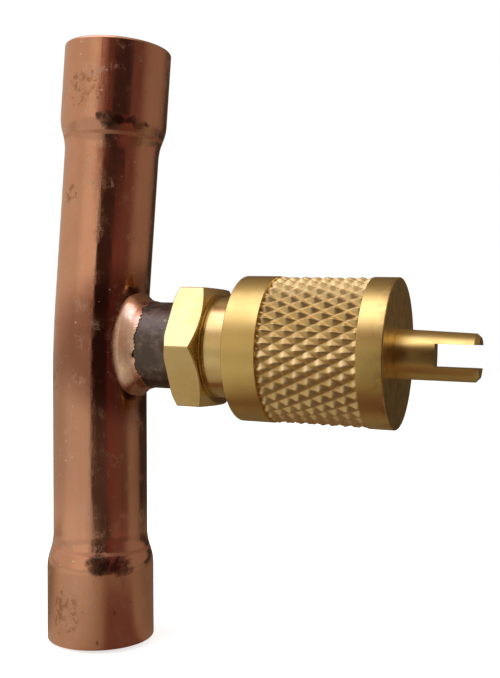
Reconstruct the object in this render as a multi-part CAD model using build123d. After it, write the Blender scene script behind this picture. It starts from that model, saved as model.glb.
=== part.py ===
"""Refrigerant service valve: swaged copper tee tube, brass access valve, knurled key cap.

Lengths are millimetres. The valve's axis is +X, pointing out of the service port. The copper
tube runs up +Z. The two axes cross at the origin.
"""

from build123d import *
import math
import os

os.makedirs("parts", exist_ok=True)

# ---------------------------------------------------------------- copper tube (3/8 in, swaged)
TUBE_R = 4.7625
TUBE_WALL = 0.65
SOCKET_GAP = 0.0375      # room for brazing alloy round the line's tube
SOCKET_WALL = 0.58
HALF_LENGTH = 30.0       # from the branch to each tube end, along that half's axis
SOCKET_DEPTH = 8.0
SWAGE_LENGTH = 2.0       # the taper between tube and socket
SWAGE_ROUND = 1.4
END_ROUND = 0.40
LEAN_DEG = 2.2           # each half leans towards the valve by this much
BEND_TANGENT = 4.0       # the leaning halves become one arc this near the branch

# ---------------------------------------------------------------- valve body
PILOT_R = 3.175          # 1/4 in pilot in the tube's side
PILOT_DEPTH = 2.05       # how far it goes in from the tube's outside
PILOT_GAP = 0.025
STAND_OFF = 0.19         # the spigot begins to widen this far off the tube
SPIGOT_R = 4.30
SPIGOT_LENGTH = 4.025
HEX_AF = 11.40
HEX_THICK = 3.40
HEX_CHAMFER_DEG = 30
HEX_FRONT_CUT = 0.25     # the front chamfer begins this far inside the flats
HEX_BACK_CUT = -0.28     # the back one only takes the corners
RELIEF_R = 4.90          # smooth collar between the hexagon and the thread
RELIEF_LENGTH = 3.10
THREAD_R = 5.55          # 7/16-20 major radius
THREAD_LENGTH = 8.45
NOSE_R = 3.30            # outer radius of the flat ring at the flare nose's tip
MOUTH_CHAMFER = 0.30

# ---------------------------------------------------------------- valve core
RUNNING = 0.05           # radial clearance of the threads
SWIVEL = 0.08            # radial clearance of the swivelling stem
CORE_RECESS = 1.80       # the core's outer end lies this far inside the port
PLUG_R = 2.60            # core thread
PLUG_LENGTH = 3.20
TONGUE_LENGTH = 2.00
TONGUE_WIDTH = 1.64
TONGUE_R = 2.30
STEM_R = 1.50
BEAD_R = 1.75            # the stem's end is spread to this, inside the barrel
BEAD_THICK = 0.40
LIP_THICK = 0.83         # the barrel's lip that the bead holds
LIP_GAP = 0.25
BARREL_R = 2.15
BARREL_LENGTH = 8.05
BARREL_NECK_R = 1.50     # below the gasket
BARREL_NOSE = 1.45       # from the barrel's inner end to the gasket
BARREL_BORE_GAP = 0.10
GASKET_LENGTH = 1.90
GASKET_GAP = 0.045
SPRING_FLOOR = 2.00      # from the barrel's inner end to the spring's seat
SPRING_LENGTH = 3.60
SPRING_MEAN_R = 0.90
SPRING_TURNS = 5.5
SPRING_ROOM = 0.22       # radial room round the spring
WIRE_R = 0.15
PIN_R = 0.50
PIN_GAP = 0.13
PIN_OUT = 0.40           # the pin stands this far out of the tongue
PIN_PAST_CUP = 0.40
COLLAR_R = 1.05          # the pin's collar that the spring pushes
COLLAR_THICK = 0.45
CUP_R = 1.42
CUP_WALL = 0.20
CUP_LENGTH = 1.76
CUP_GAP = 0.14
SEAT_THICK = 0.99
SEAT_GAP = 0.06
PASSAGE_GAP = 0.38       # round the cup, down to the tube

# ---------------------------------------------------------------- service cap and its seal
CAP_WALL = 1.40
CAP_MOUTH_LAP = 0.35     # the cap's mouth reaches this far past the thread's start
SEAL_THICK = 0.86
SEAL_FACE_GAP = 0.07
SEAL_RIM_GAP = 0.30
SEAL_HOLE_GAP = 0.03     # the seal's hole is this much larger than the port's mouth
CAP_RECESS_DEPTH = 1.30  # room for the pin beyond the seal
CAP_END_THICK = 2.77     # from the seal's seat to the end face
LAND_OPEN = 3.25         # plain band at the open end
LAND_CLOSED = 2.37       # plain band at the closed end
KNURL_ROUND = 36         # diamonds round the cap
KNURL_PITCH = 2.15       # one diamond along the cap
KNURL_DEPTH = 0.46
KNURL_SUNK = 0.04        # crests lie this far under the lands
KNURL_BEDDED = 0.35      # the knurled band reaches this far below its grooves
CAP_EDGE = 0.12
KEY_GAP = 0.30           # radial room of the key in the port
KEY_SLOT_GAP = 0.46      # total room of the key's slot on the core's tongue
KEY_LENGTH = 7.32
KEY_SLOT_DEPTH = 3.75
KEY_TIP = 0.38

# ---------------------------------------------------------------- brazing alloy at the branch
BRAZE_RIM_LAP = 0.125    # how far the alloy creeps along the spigot
BRAZE_RIM_THICK = 0.10
BRAZE_FOOT_LAP = 0.10    # how far its foot lies outside the tube's hole
# The alloy's hollow outline from foot to rim: (place from foot 0 to rim 1, spread across the
# tube from foot 0 to rim 1, reach along the tube beyond the rim as a share of the spigot radius)
BRAZE_OUTLINE = [
    (-0.08, 0.145, 0.740),
    (0.10, -0.027, 0.577),
    (0.28, 0.127, 0.409),
    (0.50, 0.455, 0.205),
    (0.71, 0.764, 0.070),
    (0.87, 0.927, 0.019),
    (1.00, 1.000, 0.000),
]

# ---------------------------------------------------------------- cutters
CUT_PAST = 1.0           # cutting solids run this far past what they cut

# ================================================================ places worked out from these
tube_bore_r = TUBE_R - TUBE_WALL
socket_bore_r = TUBE_R + SOCKET_GAP
socket_r = socket_bore_r + SOCKET_WALL
socket_floor = HALF_LENGTH - SOCKET_DEPTH
swage_start = socket_floor - SWAGE_LENGTH
hole_r = PILOT_R + PILOT_GAP

pilot_in_x = TUBE_R - PILOT_DEPTH
shoulder_x = TUBE_R + STAND_OFF
spigot_x = shoulder_x + SPIGOT_R - PILOT_R
hex_back_x = spigot_x + SPIGOT_LENGTH
hex_front_x = hex_back_x + HEX_THICK
thread_start_x = hex_front_x + RELIEF_LENGTH
thread_end_x = thread_start_x + THREAD_LENGTH
nose_x = thread_end_x + THREAD_R - NOSE_R

port_r = PLUG_R + RUNNING
mouth_r = port_r + MOUTH_CHAMFER
core_out_x = nose_x - CORE_RECESS
plug_out_x = core_out_x - TONGUE_LENGTH
plug_in_x = plug_out_x - PLUG_LENGTH
barrel_out_x = plug_in_x - LIP_GAP
barrel_in_x = barrel_out_x - BARREL_LENGTH
gasket_in_x = barrel_in_x + BARREL_NOSE
gasket_out_x = gasket_in_x + GASKET_LENGTH
spring_floor_x = barrel_in_x + SPRING_FLOOR
collar_in_x = spring_floor_x + SPRING_LENGTH
barrel_bore_r = BARREL_R + BARREL_BORE_GAP
passage_r = CUP_R + PASSAGE_GAP

cap_bore_r = THREAD_R + RUNNING
cap_r = cap_bore_r + CAP_WALL
cap_open_x = thread_start_x - CAP_MOUTH_LAP
seal_in_x = nose_x + SEAL_FACE_GAP
seal_out_x = seal_in_x + SEAL_THICK
seal_hole_r = mouth_r + SEAL_HOLE_GAP
cap_floor_x = seal_out_x + SEAL_FACE_GAP
cap_end_x = cap_floor_x + CAP_END_THICK
knurl_start_x = cap_open_x + LAND_OPEN
knurl_end_x = cap_end_x - LAND_CLOSED
key_r = PLUG_R - KEY_GAP
key_end_x = cap_end_x + KEY_LENGTH
key_slot_x = key_end_x - KEY_SLOT_DEPTH
key_slot_width = TONGUE_WIDTH + KEY_SLOT_GAP


# ================================================================ common shapes
def lathe(points):
    """Solid of revolution about X from (x, radius) points."""
    outline = Polyline(*[(x, r, 0) for x, r in points], close=True)
    return revolve(make_face(outline), Axis.X)


def rod(radius, x_from, x_to):
    """Plain cylinder along X."""
    return lathe([(x_from, 0), (x_from, radius), (x_to, radius), (x_to, 0)])


# ================================================================ copper tube
def tube_half(points, rounds):
    """One leaning half of the tube from (radius, distance along the axis) points.

    rounds maps a point's number to the radius that rounds it."""
    corners = [(0, points[0][1])] + points + [(0, points[-1][1])]
    face = make_face(Polyline(*[(r, 0, s) for r, s in corners], close=True))
    for number, radius in rounds.items():
        r, s = points[number]
        corner = face.vertices().sort_by_distance((r, 0, s))[0]
        face = fillet(corner, radius)
    return Rot(0, LEAN_DEG, 0) * revolve(face, Axis.Z)


def tube_form(points, rounds):
    """Both halves and the short bend between them."""
    upper = tube_half(points, rounds)
    lower = mirror(upper, about=Plane.XY)
    lean = math.radians(LEAN_DEG)
    bend_r = BEND_TANGENT / math.tan(lean)
    centre_x = bend_r / math.cos(lean)
    axis = Axis((centre_x, 0, 0), (0, 1, 0))
    section = Pos(centre_x - bend_r, 0, 0) * Circle(points[0][0])
    section = section.rotate(axis, -LEAN_DEG)
    bend = revolve(section, axis, revolution_arc=2 * LEAN_DEG)
    return upper + bend + lower


tube_outside = tube_form(
    [
        (TUBE_R, BEND_TANGENT),
        (TUBE_R, swage_start),
        (socket_r, socket_floor),
        (socket_r, HALF_LENGTH),
    ],
    {1: SWAGE_ROUND, 2: SWAGE_ROUND, 3: END_ROUND},
)
tube_inside = tube_form(
    [
        (tube_bore_r, BEND_TANGENT),
        (tube_bore_r, swage_start),
        (socket_bore_r, socket_floor),
        (socket_bore_r, HALF_LENGTH + CUT_PAST),
    ],
    {1: SWAGE_ROUND},
)
copper_tube = tube_outside - tube_inside - rod(hole_r, 0, 2 * TUBE_R)

# ================================================================ valve body
body_turned = lathe(
    [
        (pilot_in_x, 0),
        (pilot_in_x, PILOT_R),
        (shoulder_x, PILOT_R),
        (spigot_x, SPIGOT_R),
        (hex_back_x, SPIGOT_R),
        (hex_back_x, RELIEF_R),
        (thread_start_x, RELIEF_R),
        (thread_start_x + THREAD_R - RELIEF_R, THREAD_R),
        (thread_end_x, THREAD_R),
        (nose_x, NOSE_R),
        (nose_x, 0),
    ]
)


def hexagon():
    """Wrench hexagon with a corner on the -Y side, chamfered on both faces."""
    corner_r = HEX_AF / 2 / math.cos(math.radians(30))
    prism = extrude(Plane.YZ.offset(hex_back_x) * RegularPolygon(corner_r, 6), HEX_THICK)
    slope = math.tan(math.radians(HEX_CHAMFER_DEG))
    front_r = HEX_AF / 2 - HEX_FRONT_CUT
    back_r = HEX_AF / 2 - HEX_BACK_CUT
    outer_r = 1.1 * corner_r
    envelope = lathe(
        [
            (hex_back_x, 0),
            (hex_back_x, back_r),
            (hex_back_x + (outer_r - back_r) * slope, outer_r),
            (hex_front_x - (outer_r - front_r) * slope, outer_r),
            (hex_front_x, front_r),
            (hex_front_x, 0),
        ]
    )
    return prism & envelope


seat_points = [(gasket_in_x, passage_r), (gasket_out_x, barrel_bore_r)]
body_bore = lathe(
    [
        (0, 0),
        (0, passage_r),
        *seat_points,
        (barrel_out_x, barrel_bore_r),
        (barrel_out_x + LIP_GAP / 2, port_r),
        (nose_x - MOUTH_CHAMFER, port_r),
        (nose_x + MOUTH_CHAMFER, mouth_r + MOUTH_CHAMFER),
        (nose_x + MOUTH_CHAMFER, 0),
    ]
)
valve_body = body_turned + hexagon() - body_bore

# ================================================================ brazing alloy
rim_x = spigot_x + BRAZE_RIM_LAP
rim_r = SPIGOT_R + BRAZE_RIM_THICK
foot_r = hole_r + BRAZE_FOOT_LAP
foot_x = math.sqrt(TUBE_R**2 - foot_r**2)


def braze_section(place, spread, reach):
    """Oval section of the alloy, across the valve's axis."""
    across = foot_r + (rim_r - foot_r) * spread
    along = rim_r + SPIGOT_R * reach
    return Plane.YZ.offset(foot_x + (rim_x - foot_x) * place) * Ellipse(across, along)


braze_form = loft([braze_section(*section) for section in BRAZE_OUTLINE])
braze_fillet = braze_form - tube_outside - body_turned


# ================================================================ service cap
def knurled_sleeve():
    """Closed sleeve whose outside is a lattice of four-sided pyramids, left by two crossed
    sets of V-grooves at about 30 degrees to the axis."""
    steps = 2 * round(KNURL_ROUND)
    row_x = KNURL_PITCH / 2
    rows = math.ceil((knurl_end_x - knurl_start_x) / row_x) + 1
    first_x = (knurl_start_x + knurl_end_x - rows * row_x) / 2
    crest_r = cap_r - KNURL_SUNK
    root_r = crest_r - KNURL_DEPTH
    inner_r = root_r - KNURL_BEDDED

    def at(row, step, radius):
        turn = 2 * math.pi * (step % steps) / steps
        return Vector(first_x + row * row_x, radius * math.cos(turn), radius * math.sin(turn))

    def outer(row, step):
        return at(row, step, crest_r if (row + step) % 2 else root_r)

    def inner(row, step):
        return at(row, step, inner_r)

    triangles = []
    for step in range(steps):
        for row in range(rows):
            a, b = outer(row, step), outer(row + 1, step)
            c, d = outer(row + 1, step + 1), outer(row, step + 1)
            # each square is split along its groove, from root to root
            if (row + step) % 2:
                triangles += [(a, b, d), (b, c, d)]
            else:
                triangles += [(a, b, c), (a, c, d)]
        for row in (0, rows):
            a, b = outer(row, step), outer(row, step + 1)
            c, d = inner(row, step + 1), inner(row, step)
            triangles += [(a, b, c), (a, c, d)]
        a, b = inner(0, step), inner(rows, step)
        c, d = inner(rows, step + 1), inner(0, step + 1)
        triangles += [(a, b, c), (a, c, d)]
    return Solid(Shell([Face(Wire.make_polygon(corners)) for corners in triangles]))


def knurl_band(radius):
    """Disc that spans the knurl."""
    return rod(radius, knurl_start_x, knurl_end_x)


cap_turned = lathe(
    [
        (cap_open_x, 0),
        (cap_open_x, cap_r - CAP_EDGE),
        (cap_open_x + CAP_EDGE, cap_r),
        (cap_end_x - CAP_EDGE, cap_r),
        (cap_end_x, cap_r - CAP_EDGE),
        (cap_end_x, key_r),
        (key_end_x - KEY_TIP, key_r),
        (key_end_x, key_r - KEY_TIP),
        (key_end_x, 0),
    ]
)
knurl_bed_r = cap_r - KNURL_SUNK - KNURL_DEPTH - KNURL_BEDDED / 2
knurl_groove = knurl_band(cap_r + CUT_PAST) - knurl_band(knurl_bed_r)
knurl = knurled_sleeve() & knurl_band(cap_r + CUT_PAST)
cap_bore = lathe(
    [
        (cap_open_x - MOUTH_CHAMFER, 0),
        (cap_open_x - MOUTH_CHAMFER, cap_bore_r + 2 * MOUTH_CHAMFER),
        (cap_open_x + MOUTH_CHAMFER, cap_bore_r),
        (cap_floor_x, cap_bore_r),
        (cap_floor_x, seal_hole_r),
        (cap_floor_x + CAP_RECESS_DEPTH, seal_hole_r),
        (cap_floor_x + CAP_RECESS_DEPTH + seal_hole_r / 6, 0),
    ]
)
slot_length = KEY_SLOT_DEPTH + CUT_PAST
key_slot = Box(slot_length, 3 * key_r, key_slot_width)
key_slot = Pos(key_slot_x + slot_length / 2, 0, 0) * key_slot
service_cap = cap_turned - knurl_groove + knurl - cap_bore - key_slot

seal_r = cap_bore_r - SEAL_RIM_GAP
cap_seal = rod(seal_r, seal_in_x, seal_out_x) - rod(seal_hole_r, seal_in_x, seal_out_x)

# ================================================================ valve core
bead_out_x = barrel_out_x - LIP_THICK - SWIVEL
bead_in_x = bead_out_x - BEAD_THICK
pin_hole_r = PIN_R + PIN_GAP
core_head = lathe(
    [
        (bead_in_x, 0),
        (bead_in_x, BEAD_R),
        (bead_out_x, BEAD_R),
        (bead_out_x, STEM_R),
        (plug_in_x, STEM_R),
        (plug_in_x, PLUG_R - 4 * RUNNING),
        (plug_in_x + 4 * RUNNING, PLUG_R),
        (plug_out_x - 4 * RUNNING, PLUG_R),
        (plug_out_x, PLUG_R - 4 * RUNNING),
        (plug_out_x, 0),
    ]
)
tongue_round = rod(TONGUE_R, plug_out_x - RUNNING, core_out_x)
tongue_flat = Pos(core_out_x, 0, 0) * Box(3 * TONGUE_LENGTH, 3 * TONGUE_R, TONGUE_WIDTH)
core_head = core_head + (tongue_round & tongue_flat) - rod(pin_hole_r, bead_in_x, core_out_x)

spring_room_r = SPRING_MEAN_R + WIRE_R + SPRING_ROOM
pocket_out_x = barrel_out_x - LIP_THICK
pocket_in_x = bead_in_x - SWIVEL
core_barrel = lathe(
    [
        (barrel_in_x, pin_hole_r),
        (barrel_in_x, (pin_hole_r + BARREL_NECK_R) / 2),
        (barrel_in_x + LIP_GAP, BARREL_NECK_R),
        (gasket_out_x, BARREL_NECK_R),
        (gasket_out_x, BARREL_R),
        (barrel_out_x, BARREL_R),
        (barrel_out_x, STEM_R + SWIVEL),
        (pocket_out_x, STEM_R + SWIVEL),
        (pocket_out_x, BEAD_R + SWIVEL),
        (pocket_in_x, BEAD_R + SWIVEL),
        (pocket_in_x, spring_room_r),
        (spring_floor_x, spring_room_r),
        (spring_floor_x, pin_hole_r),
    ]
)
core_gasket = lathe(
    [
        (gasket_in_x, BARREL_NECK_R),
        (gasket_in_x, passage_r - GASKET_GAP),
        (gasket_out_x, barrel_bore_r - GASKET_GAP),
        (gasket_out_x, BARREL_NECK_R),
    ]
)

cup_out_x = barrel_in_x - CUP_GAP
cup_in_x = cup_out_x - CUP_LENGTH
seat_out_x = barrel_in_x - SEAT_GAP
seat_in_x = seat_out_x - SEAT_THICK
pin_in_x = cup_in_x - PIN_PAST_CUP
pin_out_x = core_out_x + PIN_OUT
core_pin = rod(PIN_R, pin_in_x, pin_out_x) + rod(COLLAR_R, collar_in_x, collar_in_x + COLLAR_THICK)
core_cup = lathe(
    [
        (cup_in_x, PIN_R),
        (cup_in_x, CUP_R * 2 / 3),
        (cup_in_x + CUP_R / 3, CUP_R),
        (cup_out_x, CUP_R),
        (cup_out_x, CUP_R - CUP_WALL),
        (seat_in_x, CUP_R - CUP_WALL),
        (seat_in_x, PIN_R),
    ]
)
core_seat = rod(CUP_R - CUP_WALL, seat_in_x, seat_out_x) - rod(PIN_R, seat_in_x, seat_out_x)


def coil_spring():
    """Open coil between the barrel's spring seat and the pin's collar."""
    end_gap = WIRE_R + WIRE_R / 5
    height = SPRING_LENGTH - 2 * end_gap
    path = Helix(
        pitch=height / SPRING_TURNS,
        height=height,
        radius=SPRING_MEAN_R,
        center=(spring_floor_x + end_gap, 0, 0),
        direction=(1, 0, 0),
    )
    section = Plane(origin=path @ 0, z_dir=path % 0) * Circle(WIRE_R)
    return sweep(section, path=path, is_frenet=True)


# ================================================================ write the parts
for name, shape in {
    "copper_tube": copper_tube,
    "braze_fillet": braze_fillet,
    "valve_body": valve_body,
    "service_cap": service_cap,
    "cap_seal": cap_seal,
    "core_head": core_head,
    "core_barrel": core_barrel,
    "core_gasket": core_gasket,
    "core_pin": core_pin,
    "core_spring": coil_spring(),
    "core_cup": core_cup,
    "core_seat": core_seat,
}.items():
    export_step(shape, f"parts/{name}.step")
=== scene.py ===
# %% [markdown]
# # Refrigerant service valve
# A copper tee tube with a brass access valve brazed into its side. A knurled brass cap closes the
# valve, and the two-pronged key on its end fits the tongue of the valve core. This notebook dresses
# the plain CAD model: each cell makes one piece or one finish, and says why it is made that way.

# %% Open the CAD model
import math

import bmesh
import bpy
import numpy as np
from mathutils import Matrix, Vector, noise


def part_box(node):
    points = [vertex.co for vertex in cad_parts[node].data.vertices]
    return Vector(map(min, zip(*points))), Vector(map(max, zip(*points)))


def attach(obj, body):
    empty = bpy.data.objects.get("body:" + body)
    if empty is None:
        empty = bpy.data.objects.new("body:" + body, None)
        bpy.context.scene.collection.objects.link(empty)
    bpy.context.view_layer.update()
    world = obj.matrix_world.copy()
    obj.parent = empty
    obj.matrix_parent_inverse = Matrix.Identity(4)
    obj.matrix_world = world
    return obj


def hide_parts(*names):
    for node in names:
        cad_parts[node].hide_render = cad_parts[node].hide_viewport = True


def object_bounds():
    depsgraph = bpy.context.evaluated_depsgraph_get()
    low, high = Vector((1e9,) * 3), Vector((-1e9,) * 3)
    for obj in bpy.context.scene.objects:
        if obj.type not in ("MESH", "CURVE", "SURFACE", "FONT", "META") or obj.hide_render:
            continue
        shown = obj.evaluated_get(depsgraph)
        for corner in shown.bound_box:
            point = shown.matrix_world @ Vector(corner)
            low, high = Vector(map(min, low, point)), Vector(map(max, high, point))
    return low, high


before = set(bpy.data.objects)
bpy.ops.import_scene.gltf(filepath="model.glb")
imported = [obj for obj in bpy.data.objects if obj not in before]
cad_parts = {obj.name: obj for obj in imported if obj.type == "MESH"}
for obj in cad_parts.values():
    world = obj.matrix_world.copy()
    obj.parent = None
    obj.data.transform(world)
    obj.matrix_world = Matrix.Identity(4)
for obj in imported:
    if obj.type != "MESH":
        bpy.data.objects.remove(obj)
cad_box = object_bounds()
MM = 0.001
print("CAD box, mm:", [[round(c / MM, 2) for c in corner] for corner in cad_box])

# %% [markdown]
# ## Sizes
# The visible pieces stand in the places of the CAD solids, so they use the same sizes, in
# millimetres. The valve's axis is X, and the tube runs up Z.

# %% Sizes of the tube, the body and the cap
TUBE_R, TUBE_BORE_R = 4.7625, 4.1125
SOCKET_R, SOCKET_BORE_R = 5.38, 4.80
HALF_LENGTH, SOCKET_DEPTH, SWAGE_LENGTH = 30.0, 8.0, 2.0
LEAN = math.radians(2.2)
BEND_TANGENT = 4.0

PILOT_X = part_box("valve_body")[0].x / MM
NOSE_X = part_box("valve_body")[1].x / MM
PILOT_R, SPIGOT_R, RELIEF_R = 3.175, 4.30, 4.90
SHOULDER_X, SPIGOT_X = 4.9525, 6.0775
HEX_BACK_X, HEX_FRONT_X = 10.1025, 13.5025
HEX_APOTHEM, HEX_FACE_R = 5.70, 5.20
THREAD_START_X, THREAD_END_X = 16.6025, 25.0525
THREAD_R, THREAD_ROOT_R, THREAD_PITCH = 5.55, 4.84, 1.27
NOSE_R, MOUTH_R, PORT_R = 3.30, 2.95, 2.65
PORT_FLOOR_X, BARREL_X, BARREL_R = 20.425, 20.30, 2.25
BARREL_END_X, PASSAGE_X, PASSAGE_R = 15.3525, 13.4525, 1.80

CAP_OPEN_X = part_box("service_cap")[0].x / MM
KEY_END_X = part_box("service_cap")[1].x / MM
CAP_R, CAP_BORE_R, RECESS_R = 7.00, 5.60, 2.98
CAP_FLOOR_X, CAP_END_X = 28.3025, 31.0725
KNURL_START_X, KNURL_END_X = CAP_OPEN_X + 3.25, CAP_END_X - 2.37
KEY_R, KEY_SLOT_X, KEY_SLOT_WIDTH = 2.30, 34.6425, 2.10
print("cap from", round(CAP_OPEN_X, 2), "to", round(KEY_END_X, 2), "mm along the axis")

# %% [markdown]
# ## Helpers for meshes
# Most pieces were turned on a lathe or drawn as a tube. Such a piece is a stack of rings of points,
# and skin() joins neighbouring rings with quads. soften() rounds an outline's corners first, since
# a real metal edge is never perfectly sharp, and its small radius is what catches the light.


# %% Outlines and rings
def skin(rings, loop=False):
    """Vertices and quads of a surface through rings with the same number of points."""
    count = len(rings[0])
    faces = []
    for i in range(len(rings) if loop else len(rings) - 1):
        a, b = i * count, (i + 1) % len(rings) * count
        faces += [(a + k, a + (k + 1) % count, b + (k + 1) % count, b + k) for k in range(count)]
    return np.concatenate(rings), faces


ARC_STEPS = 5
HOLD = 0.02


def soften(corners, loop=False):
    """Outline through (along, radius, rounding) corners, each rounded by its own radius."""
    outline = []
    for i, (x, r, rounding) in enumerate(corners):
        here = Vector((x, r))
        if rounding == 0 or (not loop and i in (0, len(corners) - 1)):
            outline.append(here)
            continue
        to_last = Vector(corners[i - 1][:2]) - here
        to_next = Vector(corners[(i + 1) % len(corners)][:2]) - here
        half = to_last.angle(to_next) / 2
        reach = min(rounding / math.tan(half), 0.45 * min(to_last.length, to_next.length))
        u, v = to_last.normalized(), to_next.normalized()
        radius = reach * math.tan(half)
        centre = here + (u + v).normalized() * radius / math.sin(half)
        a, b = here + u * reach - centre, here + v * reach - centre
        sweep = a.angle(b)
        outline.append(here + u * (reach + HOLD))
        for k in range(ARC_STEPS + 1):
            t = k / ARC_STEPS
            spread = a * math.sin((1 - t) * sweep) + b * math.sin(t * sweep)
            outline.append(centre + spread / math.sin(sweep))
        outline.append(here + v * (reach + HOLD))
    return outline


def ring_round_x(x, radius, around):
    """Points round the valve's axis at angles in radians, with one radius or one for each."""
    return np.column_stack([np.full(len(around), x), radius * np.cos(around), radius * np.sin(around)])


def turned_rings(outline, angles):
    """Rings round X for each (along, radius) point."""
    return [ring_round_x(x, r, np.radians(angles)) for x, r in outline]


EVEN = np.linspace(0, 360, 192, endpoint=False)


# %% Finished pieces
def placed(name, data):
    """Object at the origin that shows this mesh, lamp or camera."""
    made = bpy.data.objects.new(name, data)
    bpy.context.scene.collection.objects.link(made)
    return made


def mesh_in_mm(name, vertices, faces):
    mesh = bpy.data.meshes.new(name)
    mesh.from_pydata([tuple(v) for v in np.asarray(vertices) * MM], [], faces)
    return mesh


def clean(mesh):
    """Merges doubles, turns the faces outwards and counts the edges that stay open."""
    work = bmesh.new()
    work.from_mesh(mesh)
    bmesh.ops.remove_doubles(work, verts=work.verts, dist=2e-7)
    bmesh.ops.recalc_face_normals(work, faces=work.faces)
    work.to_mesh(mesh)
    open_edges = sum(1 for e in work.edges if len(e.link_faces) != 2)
    work.free()
    return open_edges


def adopt(name, mesh, material, body, stands_for=()):
    """Turns a closed mesh into a piece: clean, smooth, with its material, on its CAD body."""
    open_edges = clean(mesh)
    mesh.shade_smooth()
    mesh.materials.clear()
    mesh.materials.append(material)
    made = placed(name, mesh)
    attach(made, body)
    if stands_for:
        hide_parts(*stands_for)
    print(name, len(mesh.polygons), "faces,", open_edges, "open edges")
    return made


def piece(name, vertices, faces, material, body, slot, stands_for=()):
    """Makes a piece from vertices in millimetres."""
    return adopt(name, mesh_in_mm(name, vertices, faces), material, body, stands_for)


# %% [markdown]
# ## Helpers for node trees
# Shader trees and geometry trees are both made of nodes with inputs. node() adds one and fills its
# inputs by name or number: a socket is linked, and any other value is typed in. The short helpers
# after it are for the nodes that turn up again and again, such as sums, products and blends.


# %% Nodes for numbers, vectors and colours
def node(tree, kind, inputs=None, **settings):
    made = tree.nodes.new(kind)
    for key, value in settings.items():
        setattr(made, key, value)
    for key, value in (inputs or {}).items():
        socket = made.inputs[key]
        if isinstance(value, bpy.types.NodeSocket):
            tree.links.new(value, socket)
        else:
            socket.default_value = value
    return made


def calc(tree, operation, a, b=0.0, c=0.0):
    """One Math node in either kind of tree."""
    return node(tree, "ShaderNodeMath", {0: a, 1: b, 2: c}, operation=operation).outputs[0]


def product(tree, *values):
    """All the values multiplied."""
    total = values[0]
    for value in values[1:]:
        total = calc(tree, "MULTIPLY", total, value)
    return total


def weighted(tree, *terms, base=0.0):
    """A base value and the sum of (socket, weight) pairs."""
    total = base
    for value, weight in terms:
        total = calc(tree, "MULTIPLY_ADD", value, weight, total)
    return total


def between(tree, value, low, high, to_low=0.0, to_high=1.0):
    """Smooth step of value from low to high."""
    return node(
        tree, "ShaderNodeMapRange",
        {"Value": value, "From Min": low, "From Max": high, "To Min": to_low, "To Max": to_high},
        interpolation_type="SMOOTHSTEP",
    ).outputs[0]


def vector_calc(tree, operation, a, b=(0.0, 0.0, 0.0)):
    """One Vector Math node: a length, distance or dot product is a number, the rest a vector."""
    made = node(tree, "ShaderNodeVectorMath", {0: a, 1: b}, operation=operation)
    is_number = operation in ("LENGTH", "DISTANCE", "DOT_PRODUCT")
    return made.outputs["Value" if is_number else "Vector"]


def scaled(tree, vector, scale):
    return vector_calc(tree, "MULTIPLY", vector, scale)


def xyz(tree, vector):
    return node(tree, "ShaderNodeSeparateXYZ", {0: vector}).outputs[:3]


def vector_of(tree, x=0.0, y=0.0, z=0.0):
    return node(tree, "ShaderNodeCombineXYZ", {0: x, 1: y, 2: z}).outputs[0]


def mixed(tree, factor, a, b):
    """Blend of two colours."""
    made = node(tree, "ShaderNodeMix", {0: factor}, data_type="RGBA")
    for number, value in ((6, a), (7, b)):
        if isinstance(value, bpy.types.NodeSocket):
            tree.links.new(value, made.inputs[number])
        else:
            made.inputs[number].default_value = (*value, 1.0)
    return made.outputs[2]


def coated(tree, colour, *coats):
    """A colour under coats of (mask, how much the coat hides, the coat's colour)."""
    for mask, share, tint in coats:
        colour = mixed(tree, calc(tree, "MULTIPLY", mask, share), colour, tint)
    return colour


# %% Groups and noise
def new_group(name, kind, inputs, outputs):
    """Empty node group whose named sockets each have a kind and a first value."""
    tree = bpy.data.node_groups.new(name, kind)
    for way, sockets in (("INPUT", inputs), ("OUTPUT", outputs)):
        for label, (socket_kind, value) in sockets.items():
            made = tree.interface.new_socket(label, in_out=way, socket_type="NodeSocket" + socket_kind)
            if value is not None:
                made.default_value = value
    start = tree.nodes.new("NodeGroupInput").outputs
    end = tree.nodes.new("NodeGroupOutput").inputs
    return tree, start, end


def fac_noise(tree, vector, scale, detail=3.0, roughness=0.55):
    """Cloudy value from 0 to 1."""
    return node(
        tree, "ShaderNodeTexNoise",
        {"Vector": vector, "Scale": scale, "Detail": detail, "Roughness": roughness},
    ).outputs[0]


def shaken(tree, vector, scale, detail, by, centre=(0.0, 0.0, 0.0)):
    """A place moved about by noise, so that what is drawn there gets a ragged edge."""
    colour = node(
        tree, "ShaderNodeTexNoise", {"Vector": vector, "Scale": scale, "Detail": detail}
    ).outputs["Color"]
    drift = scaled(tree, vector_calc(tree, "SUBTRACT", colour, centre), by)
    return vector_calc(tree, "ADD", vector, drift)


# %% [markdown]
# ## Shared effects
# Real metal is never one flat colour. Four effects are built once as node groups, and each material
# places them with its own sizes: blotches of tarnish, fine scratches along one direction, rings left
# by a lathe tool, and small specks of dust or dirt. All read Object coordinates, in metres.

# %% Tarnish
tarnish, start, end = new_group(
    "tarnish", "ShaderNodeTree",
    {"Vector": ("Vector", None), "Size": ("Float", 0.003), "Cover": ("Float", 0.5)},
    {"Mask": ("Float", None)},
)
cloud = fac_noise(tarnish, start["Vector"], calc(tarnish, "DIVIDE", 1.0, start["Size"]), 5.0, 0.62)
threshold = calc(tarnish, "SUBTRACT", 1.0, start["Cover"])
low, high = calc(tarnish, "SUBTRACT", threshold, 0.12), calc(tarnish, "ADD", threshold, 0.12)
tarnish.links.new(between(tarnish, cloud, low, high), end["Mask"])

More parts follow.
